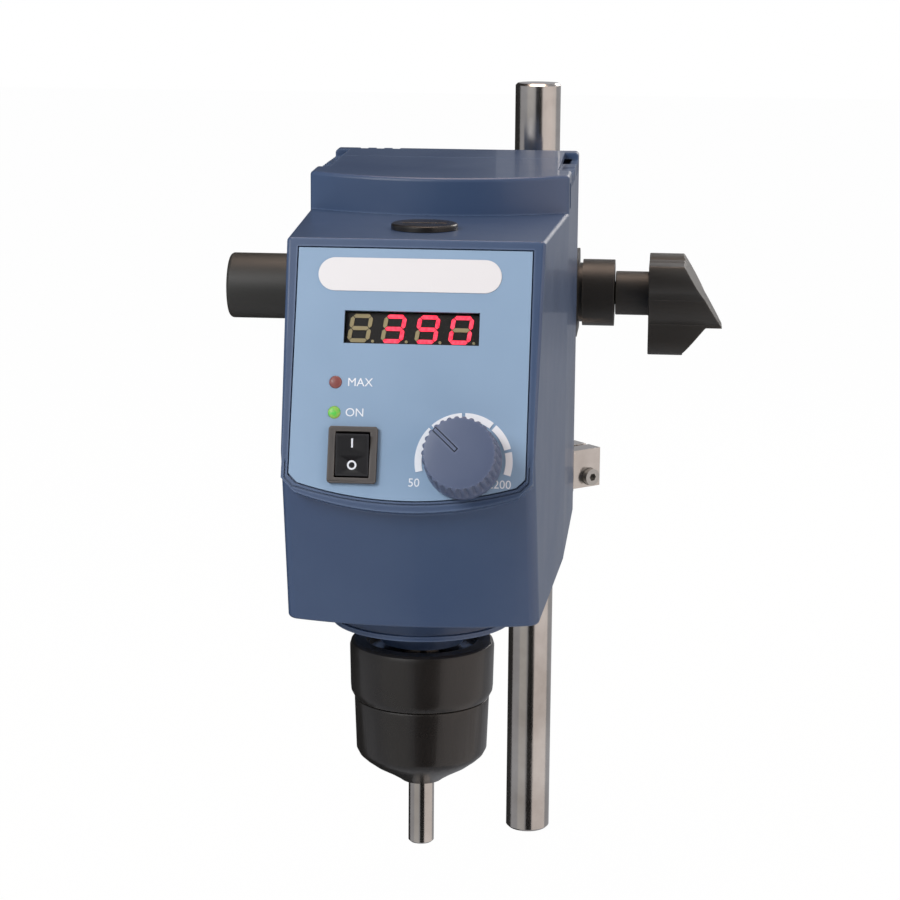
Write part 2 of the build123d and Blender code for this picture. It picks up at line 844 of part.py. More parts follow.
def motor_can():
    """The motor's can, hung under the deck."""
    low = deck_z - motor_height
    can = post(motor_r, low, deck_z, 0, motor_y)
    can -= post(motor_r - motor_wall, low + 2, deck_z - 3, 0, motor_y)
    for x, y in motor_screw_places():
        can -= post(1.3, deck_z - 4, deck_z + 1, x, y)
    return can - post(motor_shaft_r + 0.1, low + 1, deck_z + 1, 0, motor_y)


def motor_stator():
    """The wound core inside the can."""
    low = deck_z - motor_height + 8
    core = tube(motor_r - motor_wall, stator_r_in, low, deck_z - 9, 0, motor_y)
    slots = 9
    for i in range(slots):
        x, y = polar(stator_r_in, radians(360 * i / slots))
        core -= post(1.3, low - 1, deck_z, x, y + motor_y)
    return core


def motor_rotor():
    """The magnet rotor."""
    low = deck_z - motor_height + 8.5
    return tube(stator_r_in - 0.5, motor_shaft_r, low, deck_z - 9.5, 0, motor_y)


def motor_shaft():
    """The motor's shaft."""
    return post(motor_shaft_r, deck_z - motor_height + 1.5, pulley_z + belt_width + 4, 0, motor_y)


def motor_screw_places():
    """Where the motor is screwed to the deck."""
    return [(x, motor_y + y) for x, y in ((0, 14), (0, -14), (14, 0), (-14, 0))]


def deck():
    """The plate that carries the motor, the bearing tube and the arm."""
    plate = block(-deck_half, deck_half, deck_front_y, deck_rear_y, deck_z, deck_z + deck_thick)
    plate -= post(carrier_r + 0.1, deck_z - 1, deck_z + deck_thick + 1)
    plate -= post(6.0, deck_z - 1, deck_z + deck_thick + 1, 0, motor_y)
    for x, y in motor_screw_places():
        plate -= post(1.6, deck_z - 1, deck_z + deck_thick + 1, x, y)
    for hole in bosses(1.8, deck_z - 1, deck_z + deck_thick + 1):
        plate -= hole
    for x, y in arm_screw_places():
        plate -= post(2.1, deck_z - 1, deck_z + deck_thick + 1, x, y)
    return plate


def upright_screws(places, seat, depth, r, head_r, head_h):
    """Screws with their heads on top."""
    screws = []
    for x, y in places:
        screw = post(head_r, seat, seat + head_h, x, y) + post(r, seat - depth, seat + 0.3, x, y)
        screws.append(screw - Pos(x, y, seat + head_h) * extrude(RegularPolygon(r * 0.8, 6), -head_h / 2))
    return Compound(children=screws)


def deck_screws():
    """Four screws from the deck into the columns."""
    places = [(x, y) for x in (-boss_x, boss_x) for y in (boss_front_y, boss_rear_y)]
    return upright_screws(places, deck_z + deck_thick, deck_thick + 8, 1.5, 2.9, 2.2)


def motor_screws():
    """Four screws from the deck into the motor."""
    return upright_screws(motor_screw_places(), deck_z + deck_thick, deck_thick + 2.8, 1.3, 2.6, 1.9)


def arm_screw_places():
    """Where the arm block is screwed to the deck."""
    return [(x, y) for x in (-arm_screw_x, arm_screw_x) for y in arm_screw_y]


def arm_block():
    """The block on the deck that holds the arm."""
    low = deck_z + deck_thick
    solid = block(-arm_block_half, arm_block_half, arm_start_y, deck_rear_y, low, arm_z + arm_r + 4)
    solid -= bar_y(arm_r + fit_gap, arm_start_y + 3, deck_rear_y + 1, 0, arm_z)
    solid -= post(2.0, arm_z, arm_z + arm_r + 6, 0, arm_lock_y)
    for x, y in arm_screw_places():
        solid -= post(1.7, low - 1, low + 9, x, y)
    return solid


def arm_screws():
    """Four screws from below the deck into the arm block."""
    screws = []
    for x, y in arm_screw_places():
        head = post(3.2, deck_z - 2.6, deck_z, x, y)
        screws.append(head + post(1.7, deck_z - 0.3, deck_z + deck_thick + 8, x, y))
    return Compound(children=screws)


def arm_set_screw():
    """The set screw that locks the arm in its block."""
    high = arm_z + arm_r + 4
    screw = post(2.0, arm_z + arm_r - 1.2, high, 0, arm_lock_y)
    return screw - Pos(0, arm_lock_y, high) * extrude(RegularPolygon(1.4, 6), -2.5)


def support_arm():
    """The round arm from the head through the clamp."""
    arm = bar_y(arm_r, arm_start_y + 3, arm_end_y, 0, arm_z)
    arm = chamfer(arm.edges().filter_by(GeomType.CIRCLE), 0.8)
    return arm - post(2.1, arm_z + arm_r - 1.3, arm_z + arm_r + 2, 0, arm_lock_y)


def jaw(index, extra=0.0, longer=0.0):
    """One jaw, leaning in towards the nose."""
    start_r = shaft_r + jaw_r + 0.1
    place = Rot(0, 0, 120 * index + 90) * Pos(start_r - 2.5 * tan(radians(jaw_lean)), 0, jaw_tip_z)
    rod = Cylinder(jaw_r + extra, jaw_length + longer, align=(Align.CENTER, Align.CENTER, Align.MIN))
    solid = place * Rot(0, jaw_lean, 0) * rod
    return solid if extra else solid - post(shaft_r + fit_gap, 0, 100)


def chuck_body():
    """The steel core that holds the spindle and guides the jaws."""
    points = [
        (shaft_r + 1.1, chuck_core_z), (chuck_core_r - 2.0, chuck_core_z), (chuck_core_r, chuck_core_z + 2),
        (chuck_core_r, chuck_head_z), (chuck_head_r, chuck_head_z), (chuck_head_r, ring_top_z - 2.4),
        (shaft_r + 1.1, ring_top_z - 2.4),
    ]
    core = turned(points) - post(spindle_r, spindle_low_z, ring_top_z + 1)
    for i in range(3):
        core -= jaw(i, extra=fit_gap, longer=jaw_travel + 1)
    return core


def chuck_ring():
    """The upper grip ring, fixed on the core."""
    inner = chuck_head_r + fit_gap
    points = [
        (inner, ring_bottom_z), (sleeve_r + 0.1, ring_bottom_z), (ring_r - 0.4, ring_step_z),
        (ring_r - 0.25, ring_step_z + 1.6), (ring_r, ring_top_z - 2.0), (ring_r - 0.4, ring_top_z - 0.6),
        (ring_r - 1.3, ring_top_z), (ring_inner_r, ring_top_z), (ring_inner_r, ring_top_z - 2.2),
        (inner, ring_top_z - 2.2),
    ]
    return turned(points)


def chuck_sleeve():
    """The lower grip sleeve with the domed nose."""
    roof = sleeve_top_z - 1.6
    rim_r = chuck_core_r + 0.3
    points = [
        (rim_r, sleeve_top_z), (sleeve_r - 0.3, sleeve_top_z), (sleeve_r, sleeve_top_z - 0.5),
        (sleeve_low_r, 31.5), (19.4, 29.8), (17.8, 28.3), (15.0, 26.2), (10.5, 23.6), (7.4, 21.6), (6.4, nose_z),
        (nose_hole_r, nose_z), (nose_hole_r, 23.0), (8.4, 24.6), (11.4, 28.6), (sleeve_cavity_r, 32.0),
        (sleeve_cavity_r, roof), (rim_r, roof),
    ]
    return turned(points)


def chuck_nut():
    """The nut in the sleeve that drives the jaws."""
    return tube(sleeve_cavity_r, chuck_core_r + slip_gap, nut_low_z, nut_low_z + nut_height)


def stirring_shaft():
    """The shaft in the chuck."""
    shaft = post(shaft_r, 0, shaft_top_z)
    return chamfer(shaft.edges().filter_by(GeomType.CIRCLE), 0.5)


def stand_rod():
    """The upright rod of the stand."""
    rod = post(rod_r, rod_low_z, rod_high_z, rod_x, rod_y)
    return chamfer(rod.edges().filter_by(GeomType.CIRCLE), 0.8)


def clamp_body():
    """The cross clamp with an upright hole, an arm hole and two round ends."""
    y0, y1 = rod_y - clamp_half_y, rod_y + clamp_half_y
    body = block(clamp_left_x, clamp_right_x, y0, y1, clamp_low_z, clamp_high_z)
    body = fillet(body.edges().filter_by(Axis.X), 5.0)
    body += bar_x(clamp_boss_r, clamp_right_x + 1.6, clamp_boss_x, rod_y, arm_z)
    body += bar_x(clamp_boss_r - 1.3, clamp_right_x - 1, clamp_right_x + 2, rod_y, arm_z)
    body += bar_x(clamp_boss_r - 1.3, left_boss_x, clamp_left_x + 1, rod_y, arm_z)
    body -= post(rod_r + fit_gap, clamp_low_z - 1, clamp_high_z + 1, rod_x, rod_y)
    body -= bar_y(arm_r + fit_gap, y0 - 1, y1 + 1, 0, arm_z)
    screw_hole = clamp_screw_r + fit_gap
    body -= bar_x(screw_hole, rod_x + rod_r - 2, clamp_boss_x + 1, rod_y, arm_z)
    return body - bar_x(screw_hole, left_boss_x - 1, 2 - arm_r, rod_y, arm_z)


def lobe_outline():
    """Three rounded lobes, one pointing down."""
    outline = Circle(lobe_flat)
    for i in range(3):
        tip = Rot(0, 0, 120 * i - 90) * Pos(lobe_reach / 2, 0)
        outline += tip * SlotOverall(lobe_reach, lobe_width)
    return outline


def rod_clamp_knob():
    """The three-lobed knob with its slanted end, its neck and its clamp screw."""
    side = Plane(origin=(lobe_start_x, rod_y, arm_z), x_dir=(0, 1, 0), z_dir=(1, 0, 0))
    knob = side * extrude(lobe_outline(), lobe_end_x - lobe_start_x)
    slant = [
        (lobe_start_x, arm_z - lobe_reach - 1), (lobe_slant_x, arm_z - lobe_reach - 1),
        (lobe_slant_x, arm_z - lobe_reach + 1), (lobe_step_x, arm_z - lobe_step),
        (lobe_end_x, arm_z - lobe_step), (lobe_slant_x, arm_z + lobe_flat + 0.2), (lobe_start_x, arm_z + lobe_flat + 0.2),
    ]
    knob = knob & (Pos(0, rod_y, 0) * extrude(Plane.XZ * make_face(Polyline(*slant, close=True)), 40, both=True))
    knob += bar_x(lobe_neck_r, clamp_boss_x + 0.4, lobe_start_x + 1, rod_y, arm_z)
    return knob + bar_x(clamp_screw_r, rod_x + rod_r + 0.1, clamp_boss_x + 2, rod_y, arm_z)


def arm_clamp_knob():
    """The smooth round knob, its neck and its clamp screw."""
    right = knob_left_x + knob_left_length
    knob = bar_x(knob_left_r, knob_left_x, right, rod_y, arm_z)
    knob = fillet(knob.edges().filter_by(GeomType.CIRCLE), 1.6)
    knob += bar_x(lobe_neck_r, right - 1, left_boss_x - 0.4, rod_y, arm_z)
    return knob + bar_x(clamp_screw_r, left_boss_x - 2, -arm_r - 0.1, rod_y, arm_z)


def stop_place():
    """The stop collar's middle, turned to its ear."""
    return Pos(rod_x, rod_y, (stop_low_z + stop_high_z) / 2) * Rot(0, 0, stop_angle)


def stop_collar():
    """The split collar under the clamp, with its ears."""
    height = stop_high_z - stop_low_z
    collar = Cylinder(stop_r, height) + Pos(stop_ear / 2, 0, 0) * Box(stop_ear, 15.0, height)
    collar -= Cylinder(rod_r + fit_gap, height + 2)
    collar -= Pos(stop_ear / 2 + 4, 0, 0) * Box(stop_ear, 1.6, height + 2)
    bore = Pos(stop_screw_x, 0, stop_screw_drop) * Rot(90, 0, 0)
    collar -= bore * Cylinder(1.6 + fit_gap, 30)
    collar -= Pos(stop_screw_x, -7.5, stop_screw_drop) * Rot(90, 0, 0) * Cylinder(stop_screw_r + 0.1, 6)
    return stop_place() * collar


def stop_screw():
    """The socket screw that draws the collar together."""
    head = Pos(stop_screw_x, -7.1, stop_screw_drop) * Rot(90, 0, 0) * Cylinder(stop_screw_r, 5.0)
    shank = Pos(stop_screw_x, 0.2, stop_screw_drop) * Rot(90, 0, 0) * Cylinder(1.6, 13.0)
    socket = Pos(stop_screw_x, -9.8, stop_screw_drop) * Rot(90, 0, 0) * extrude(RegularPolygon(1.45, 6), -2.4)
    return stop_place() * (head + shank - socket)


save("front_housing", front_housing())
save("rear_cover", rear_cover())
save("cover_screws", cover_screws())
save("power_jack", power_jack())
save("jack_pin", jack_pin())
save("front_panel", front_panel())
save("name_plate", name_plate())
save("display_module", display_module())
save("display_window", display_window())
save("lit_segments", display_digits((1, 2, 3), ("abcdg", "abcdfg", "abcdef")))
save("unlit_segments", display_digits((0,), ("abcdefg",)))
save("control_board", control_board())
save("board_screws", board_screws())
save("overload_lens", lamp_lens(overload_v))
save("power_lens", lamp_lens(power_v))
save("dial_segments", dial_segments())
save("potentiometer", potentiometer())
save("pot_shaft", pot_shaft())
save("speed_knob", speed_knob())
save("knob_pointer", knob_pointer())
save("switch_frame", switch_frame())
save("switch_rocker", switch_rocker())
save("rocker_marks", rocker_marks())
save("top_cap", top_cap())
save("lower_flange", lower_flange())
save("flange_screws", flange_screws())
save("spindle_carrier", spindle_carrier())
save("bearing_outer_rings", bearing_rings(carrier_r - carrier_wall, spindle_r + 2.9, True))
save("bearing_inner_rings", bearing_rings(spindle_r + 1.6, spindle_r, True))
save("bearing_balls", bearing_balls())
save("hollow_spindle", hollow_spindle())
save("snap_ring", snap_ring())
save("spindle_pulley", spindle_pulley())
save("motor_pulley", motor_pulley())
save("drive_belt", drive_belt())
save("motor_can", motor_can())
save("motor_stator", motor_stator())
save("motor_rotor", motor_rotor())
save("motor_shaft", motor_shaft())
save("motor_screws", motor_screws())
save("deck", deck())
save("deck_screws", deck_screws())
save("arm_block", arm_block())
save("arm_screws", arm_screws())
save("arm_set_screw", arm_set_screw())
save("support_arm", support_arm())
save("chuck_body", chuck_body())
save("chuck_ring", chuck_ring())
save("chuck_sleeve", chuck_sleeve())
save("chuck_nut", chuck_nut())
for number in range(3):
    save(f"jaw_{number + 1}", jaw(number))
save("stirring_shaft", stirring_shaft())
save("stand_rod", stand_rod())
save("clamp_body", clamp_body())
save("rod_clamp_knob", rod_clamp_knob())
save("arm_clamp_knob", arm_clamp_knob())
save("stop_collar", stop_collar())
save("stop_screw", stop_screw())
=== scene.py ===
import json
from math import atan2, cos, pi, radians, sin, tan

import bmesh
import bpy
from mathutils import Matrix, Vector


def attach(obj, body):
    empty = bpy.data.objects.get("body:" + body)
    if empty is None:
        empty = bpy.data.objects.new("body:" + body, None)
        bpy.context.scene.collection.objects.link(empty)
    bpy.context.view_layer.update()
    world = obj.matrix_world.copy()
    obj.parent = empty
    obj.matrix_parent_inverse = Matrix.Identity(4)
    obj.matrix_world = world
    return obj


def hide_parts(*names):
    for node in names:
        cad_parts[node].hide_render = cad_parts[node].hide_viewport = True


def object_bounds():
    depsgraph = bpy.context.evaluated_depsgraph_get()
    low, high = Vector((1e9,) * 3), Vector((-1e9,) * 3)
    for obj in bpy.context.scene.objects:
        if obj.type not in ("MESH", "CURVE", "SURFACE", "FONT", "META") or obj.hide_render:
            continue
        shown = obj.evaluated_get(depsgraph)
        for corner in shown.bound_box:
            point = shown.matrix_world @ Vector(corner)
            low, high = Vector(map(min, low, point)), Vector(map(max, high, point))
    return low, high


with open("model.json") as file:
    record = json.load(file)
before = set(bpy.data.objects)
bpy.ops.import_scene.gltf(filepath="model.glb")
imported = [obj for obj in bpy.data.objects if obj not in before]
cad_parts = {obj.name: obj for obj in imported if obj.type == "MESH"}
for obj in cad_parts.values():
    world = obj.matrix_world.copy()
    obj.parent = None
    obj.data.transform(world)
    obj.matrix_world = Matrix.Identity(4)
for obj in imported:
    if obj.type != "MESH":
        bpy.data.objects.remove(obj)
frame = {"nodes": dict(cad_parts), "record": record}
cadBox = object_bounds()
nodes = frame["nodes"]
print("stage: frame loaded,", len(nodes), "nodes")

mm = 0.001


# shader helpers

class Sock:  # Wraps an output socket so that shader maths reads as plain expressions

    def __init__(self, mat, link):
        self.mat = mat
        self.link = link

    def math(self, kind, other):
        return self.mat.node("ShaderNodeMath", {"operation": kind}, {0: self, 1: other})

    def __add__(self, other):
        return self.math("ADD", other)

    def __radd__(self, other):
        return self.math("ADD", other)

    def __mul__(self, other):
        return self.math("MULTIPLY", other)


class Finish:  # One material on a Principled shader

    def __init__(self, name):
        self.mat = bpy.data.materials.new(name)
        self.mat.use_nodes = True
        self.tree = self.mat.node_tree
        self.shader = self.tree.nodes["Principled BSDF"]
        self.coords = None

    def node(self, kind, settings, inputs, out=0):
        made = self.tree.nodes.new(kind)
        for key, value in settings.items():
            setattr(made, key, value)
        for key, value in inputs.items():
            socket = made.inputs[key]
            if isinstance(value, Sock):
                self.tree.links.new(value.link, socket)
            else:
                socket.default_value = value
        return Sock(self, made.outputs[out])

    def place(self, scale):  # Object coordinates, stretched
        if self.coords is None:
            self.coords = self.node("ShaderNodeTexCoord", {}, {}, out="Object")
        return self.node("ShaderNodeMapping", {}, {"Vector": self.coords, "Scale": scale})

    def noise(self, scale, detail=3.0, rough=0.55, stretch=(1, 1, 1)):
        inputs = {"Vector": self.place(stretch), "Scale": scale, "Detail": detail, "Roughness": rough}
        return self.node("ShaderNodeTexNoise", {}, inputs, out="Fac")

    def spread(self, value, low, high, to0, to1):
        return self.node("ShaderNodeMapRange", {}, {0: value, 1: low, 2: high, 3: to0, 4: to1})

    def mixed(self, factor, first, second):
        return self.node("ShaderNodeMix", {"data_type": "RGBA"}, {0: factor, 6: first, 7: second}, out=2)

    def edges(self, width=0.0012):  # A mask that is 1 on outer edges, where a lighter colour is painted as a highlight
        highlightEdge = self.node("ShaderNodeBevel", {"samples": 4}, {"Radius": width})
        normal = self.node("ShaderNodeNewGeometry", {}, {}, out="Normal")
        dot = self.node("ShaderNodeVectorMath", {"operation": "DOT_PRODUCT"}, {0: highlightEdge, 1: normal},
                        out="Value")
        return self.spread(dot, 0.985, 0.80, 0.0, 1.0)

    def bump(self, height, strength, distance):
        inputs = {"Height": height, "Strength": strength, "Distance": distance}
        bumped = self.node("ShaderNodeBump", {}, inputs)
        self.tree.links.new(bumped.link, self.shader.inputs["Normal"])

    def feed(self, **values):
        names = {
            "colour": "Base Color", "rough": "Roughness", "metal": "Metallic", "coat": "Coat Weight",
            "level": "Specular IOR Level", "alpha": "Alpha", "glow": "Emission Color",
            "glowPower": "Emission Strength",
        }
        for key, value in values.items():
            socket = self.shader.inputs[names[key]]
            if isinstance(value, Sock):
                self.tree.links.new(value.link, socket)
            else:
                socket.default_value = value
        return self


def srgb(code):  # A hex colour as linear values
    parts = [int(code[i:i + 2], 16) / 255 for i in (0, 2, 4)]
    return tuple(p / 12.92 if p <= 0.04045 else ((p + 0.055) / 1.055) ** 2.4 for p in parts) + (1.0,)


# finishes

def mouldedPlastic(name, colour, dark, light, rough, grain=0.35, coat=0.0):
    f = Finish(name)
    patches = f.noise(28.0, 4.0)
    fine = f.noise(2600.0, 2.0, 0.6)
    highlightEdge = f.edges()
    body = f.mixed(f.spread(patches, 0.3, 0.7, 0.0, 1.0), srgb(dark), srgb(colour))
    # Painted highlight: the outer edges are lightened towards the light colour
    body = f.mixed(highlightEdge * 0.55, body, srgb(light))
    uneven = f.spread(patches, 0.3, 0.7, rough - 0.04, rough + 0.05) + fine * 0.04
    f.feed(colour=body, rough=uneven, coat=coat)
    f.bump(fine, grain, 0.00006)
    return f.mat


def turnedSteel(name, colour, rough, along="Z", grain=0.25):
    f = Finish(name)
    stretch = {"Z": (1, 1, 0.02), "Y": (1, 0.02, 1)}[along]
    lines = f.noise(2400.0, 3.0, 0.6, stretch)
    smudge = f.noise(45.0, 4.0)
    tone = f.mixed(f.spread(smudge, 0.3, 0.7, 0.0, 1.0), srgb(colour), srgb("d8d4d0"))
    uneven = f.spread(smudge, 0.3, 0.7, rough - 0.03, rough + 0.05) + lines * 0.06
    f.feed(colour=tone, metal=1.0, rough=uneven)
    f.bump(lines, grain, 0.00004)
    return f.mat


def groundRing(name, colour, rough):
    f = Finish(name)
    rings = f.noise(1500.0, 2.0, 0.5, (0.02, 0.02, 1))
    f.feed(colour=srgb(colour), metal=1.0, rough=f.spread(rings, 0.3, 0.7, rough - 0.05, rough + 0.08))
    f.bump(rings, 0.2, 0.00004)
    return f.mat


def paintedCast(name, colour, light, rough):
    f = Finish(name)
    pits = f.noise(900.0, 3.0, 0.65)
    patches = f.noise(40.0, 4.0)
    highlightEdge = f.edges(0.001)
    # Painted highlight: the outer edges are lightened towards the light colour
    body = f.mixed(highlightEdge * 0.6, srgb(colour), srgb(light))
    f.feed(colour=body, rough=f.spread(patches, 0.3, 0.7, rough - 0.05, rough + 0.06))
    f.bump(pits, 0.35, 0.00012)
    return f.mat


def panelFilm(name):
    f = Finish(name)
    fine = f.noise(3200.0, 2.0, 0.6)
    patches = f.noise(18.0, 3.0)
    tone = f.mixed(f.spread(patches, 0.35, 0.65, 0.0, 1.0), srgb("7f9bb8"), srgb("86a2bf"))
    f.feed(colour=tone, rough=0.42 + fine * 0.1)
    f.bump(fine, 0.3, 0.00005)
    return f.mat


def plainPrint(name, colour, rough=0.5):
    f = Finish(name)
    fine = f.noise(2200.0, 2.0)
    f.feed(colour=srgb(colour), rough=rough + fine * 0.1)
    f.bump(fine, 0.15, 0.00003)
    return f.mat


def litSegment(name, colour, power):
    f = Finish(name)
    fine = f.noise(900.0, 2.0)
    glow = f.mixed(f.spread(fine, 0.3, 0.7, 0.0, 1.0), srgb(colour), srgb("ff5a70"))
    f.feed(colour=srgb(colour), glow=glow, glowPower=power, rough=0.4)
    return f.mat


def clearWindow(name):
    f = Finish(name)
    fine = f.noise(40.0, 2.0)
    f.feed(colour=srgb("15120f"), rough=f.spread(fine, 0.3, 0.7, 0.10, 0.16), alpha=0.10, level=0.25)
    return f.mat


def board(name):
    f = Finish(name)
    tracks = f.noise(260.0, 2.0)
    tone = f.mixed(f.spread(tracks, 0.52, 0.56, 0.0, 1.0), srgb("14522c"), srgb("2a7a48"))
    f.feed(colour=tone, rough=0.35)
    return f.mat


# In mouldedPlastic and paintedCast the light colour is painted on outer edges as a highlight
finishes = {
    "housing_blue": mouldedPlastic("housingBlue", "374d6e", "33486a", "6b7f9e", 0.36, coat=0.15),
    "panel_blue": panelFilm("panelBlue"),
    "plate_white": plainPrint("plateWhite", "dcdde0", 0.4),
    "print_white": plainPrint("printWhite", "e2e7ee", 0.45),
    "display_black": plainPrint("displayBlack", "0c0a08", 0.35),
    "window_clear": clearWindow("windowClear"),
    "digit_red": litSegment("digitRed", "ff1f40", 1.25),
    "digit_beige": plainPrint("digitBeige", "b3a67c", 0.5),
    "lamp_red": mouldedPlastic("lampRed", "8c5450", "7d4a48", "a0706a", 0.25, 0.1),
    "lamp_green": litSegment("lampGreen", "2fae3c", 0.35),
    "knob_blue": mouldedPlastic("knobBlue", "525f7c", "4c5975", "76839f", 0.42),
    "pointer_dark": plainPrint("pointerDark", "1c2534", 0.5),
    "switch_frame": mouldedPlastic("switchFrame", "4a4644", "403c3a", "6c6866", 0.45),
    "switch_black": mouldedPlastic("switchBlack", "1b1b1d", "161618", "3c3c40", 0.22, 0.15, 0.2),
    "cap_black": mouldedPlastic("capBlack", "1c1a19", "161413", "3c3834", 0.25, 0.2),
    "chuck_black": mouldedPlastic("chuckBlack", "1f1d1c", "1a1817", "4a4744", 0.28, 0.3, 0.15),
    "clamp_black": paintedCast("clampBlack", "262624", "4a4945", 0.4),
    "grip_black": mouldedPlastic("gripBlack", "31312f", "2a2a28", "4c4c49", 0.45, 0.5),
    "steel": turnedSteel("drawnSteel", "b8b1ab", 0.13),
    "bearing_steel": groundRing("bearingSteel", "c8c8c8", 0.22),
    "screw_steel": groundRing("screwSteel", "b0b0ae", 0.3),
    "aluminium": groundRing("machinedAluminium", "c8c9cb", 0.35),
    "cast": paintedCast("castAlloy", "9a9b9d", "b8b8b8", 0.5),
    "board_green": board("boardGreen"),
    "motor_metal": paintedCast("motorMetal", "4a4a4c", "6c6c6e", 0.4),
    "core": paintedCast("laminatedCore", "4c4642", "6a645e", 0.55),
    "belt": mouldedPlastic("beltRubber", "1c1c1c", "161616", "303030", 0.7, 0.6),
    "brass": groundRing("turnedBrass", "b8934e", 0.3),
}
slotOf = {row["node"]: row["material_slot"] for row in frame["record"]["subparts"]}
armSteel = turnedSteel("armSteel", "bdb6b0", 0.22, "Y")
for name, obj in nodes.items():
    finish = armSteel if name == "support_arm" else finishes[slotOf[name]]
    if not obj.material_slots:
        obj.data.materials.append(finish)
    for slot in obj.material_slots:
        slot.material = finish
print("stage: finishes made,", len(finishes))


# mesh helpers

def newPiece(name, bm, finish, body, slotName, *replaced, smooth=35):
    mesh = bpy.data.meshes.new(name)
    bm.to_mesh(mesh)
    bm.free()
    mesh.materials.append(finish)
    piece = bpy.data.objects.new(name, mesh)
    bpy.context.scene.collection.objects.link(piece)
    mesh.shade_smooth()
    mesh.set_sharp_from_angle(angle=radians(smooth))
    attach(piece, body)
    if replaced:
        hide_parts(*replaced)
    return piece


bodyOf = {node: body for body, members in frame["record"]["behaviour"]["bodies"].items() for node in members}

softEdges = {  # node: width of the rounding on its copied edges, mm
    "switch_frame": 0.35, "switch_rocker": 0.5, "clamp_body": 0.8, "rod_clamp_knob": 0.7,
    "arm_clamp_knob": 0.3, "stop_collar": 0.6, "top_cap": 0.2, "chuck_ring": 0.4, "chuck_sleeve": 0.3,
    "name_plate": 0.1, "display_module": 0.2, "power_jack": 0.4, "lower_flange": 0.25, "front_panel": 0.15,
}


def softCopy(node, width):  # A copy of a node's mesh with its sharp edges really rounded
    bm = bmesh.new()
    bm.from_mesh(nodes[node].data)
    bmesh.ops.remove_doubles(bm, verts=bm.verts, dist=2e-6)
    bmesh.ops.dissolve_limit(bm, angle_limit=radians(1.0), verts=bm.verts, edges=bm.edges,
                             delimit={"NORMAL"})
    slotName = slotOf[node]
    piece = newPiece(node + "_soft", bm, nodes[node].material_slots[0].material, bodyOf[node], slotName, node)
    bevel = piece.modifiers.new("rounding", "BEVEL")
    bevel.width = width * mm
    bevel.segments = 3
    bevel.limit_method = "ANGLE"
    bevel.angle_limit = radians(40)
    bevel.use_clamp_overlap = True
    bevel.harden_normals = True
    return piece


for node, width in softEdges.items():
    softCopy(node, width)
print("stage: edges rounded")

# panel pieces, placed on the leaning panel

panelPlace = {"frontY": -25.0, "topZ": 193.0, "lean": 20.3}


def panelMatrix(u, v, w=0.0):  # From panel millimetres to the object's metres
    lean = radians(panelPlace["lean"])
    out = Vector((0, -cos(lean), sin(lean)))
    up = Vector((0, sin(lean), cos(lean)))
    spot = Vector((u, panelPlace["frontY"], panelPlace["topZ"])) + up * v + out * w
    axes = Matrix((Vector((1, 0, 0)), up, out)).transposed().to_4x4()
    return Matrix.Translation(spot * mm) @ axes @ Matrix.Scale(mm, 4)


knobShape = {  # mm, with the pointer's turn in degrees
    "u": 16.2, "v": -64.4, "lift": 0.8, "foot": 11.0, "waist": 10.8, "top": 10.6, "height": 16.3,
    "flutes": 30, "groove": 0.8, "crown": 0.35, "pointerTurn": 47.0, "pointerWidth": 1.5, "pointerLong": 9.0,
}


def makeSpeedKnob():
    k = knobShape
    bm = bmesh.new()
    steps = k["flutes"] * 8
    made = bmesh.ops.create_circle(bm, segments=steps, radius=k["foot"], cap_ends=False)
    rows = [  # height, radius, how deep the flutes are
        (0.5, k["foot"] + 0.1, 0.0), (3.6, k["foot"], 0.0), (4.2, k["waist"] + 0.1, 0.3),
        (4.8, k["waist"], 1.0),
        (k["height"] - 1.2, k["top"] + 0.05, 1.0), (k["height"] - 0.45, k["top"] - 0.15, 0.7),
        (k["height"] - 0.1, k["top"] - 0.55, 0.15), (k["height"], k["top"] - 1.0, 0.0),
    ]
    edges = list({e for v in made["verts"] for e in v.link_edges})
    for height, radius, deep in rows:
        grown = bmesh.ops.extrude_edge_only(bm, edges=edges)["geom"]
        verts = [g for g in grown if isinstance(g, bmesh.types.BMVert)]
        edges = [g for g in grown if isinstance(g, bmesh.types.BMEdge)]
        for v in verts:
            angle = atan2(v.co.y, v.co.x)
            flute = (0.5 - 0.5 * cos(k["flutes"] * angle)) ** 2
            r = radius - k["groove"] * deep * flute
            v.co = Vector((r * cos(angle), r * sin(angle), height))
    for share, rise in ((0.7, 0.6), (0.35, 0.9)):
        grown = bmesh.ops.extrude_edge_only(bm, edges=edges)["geom"]
        verts = [g for g in grown if isinstance(g, bmesh.types.BMVert)]
        edges = [g for g in grown if isinstance(g, bmesh.types.BMEdge)]
        for v in verts:
            flat = Vector((v.co.x, v.co.y)).normalized() * (k["top"] - 1.0) * share
            v.co = Vector((flat.x, flat.y, k["height"] + k["crown"] * rise))
    bmesh.ops.contextual_create(bm, geom=edges)
    foot = [e for e in bm.edges if e.is_boundary]
    bmesh.ops.contextual_create(bm, geom=foot)
    bmesh.ops.recalc_face_normals(bm, faces=bm.faces)
    bmesh.ops.transform(bm, matrix=panelMatrix(k["u"], k["v"], k["lift"]), verts=bm.verts)
    knob = newPiece("speedKnobBody", bm, finishes["knob_blue"], "dial", "knob_blue", "speed_knob", smooth=50)
    cutter = makePointerBlock("pointerCutter", k["pointerWidth"], k["pointerLong"], k["height"] - 0.15, 2.0)
    cut = knob.modifiers.new("pointerGroove", "BOOLEAN")
    cut.object = cutter
    cut.operation = "DIFFERENCE"
    cut.solver = "EXACT"
    applyModifiers(knob)
    bpy.data.objects.remove(cutter)
    parts = [  # name, how much narrower and shorter than the groove, low edge, height, slot
        ("pointerOutline", 0.06, k["height"] - 0.5, 0.62, "pointer_dark"),
        ("pointerBar", 0.62, k["height"] - 0.3, 0.62, "knob_blue"),
    ]
    for name, less, low, tall, slotName in parts:
        bar = makePointerBlock(name, k["pointerWidth"] - less, k["pointerLong"] - less, low, tall)
        bar.data.materials.append(finishes[slotName])
        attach(bar, "dial")
        if slotName == "pointer_dark":
            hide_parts("knob_pointer")


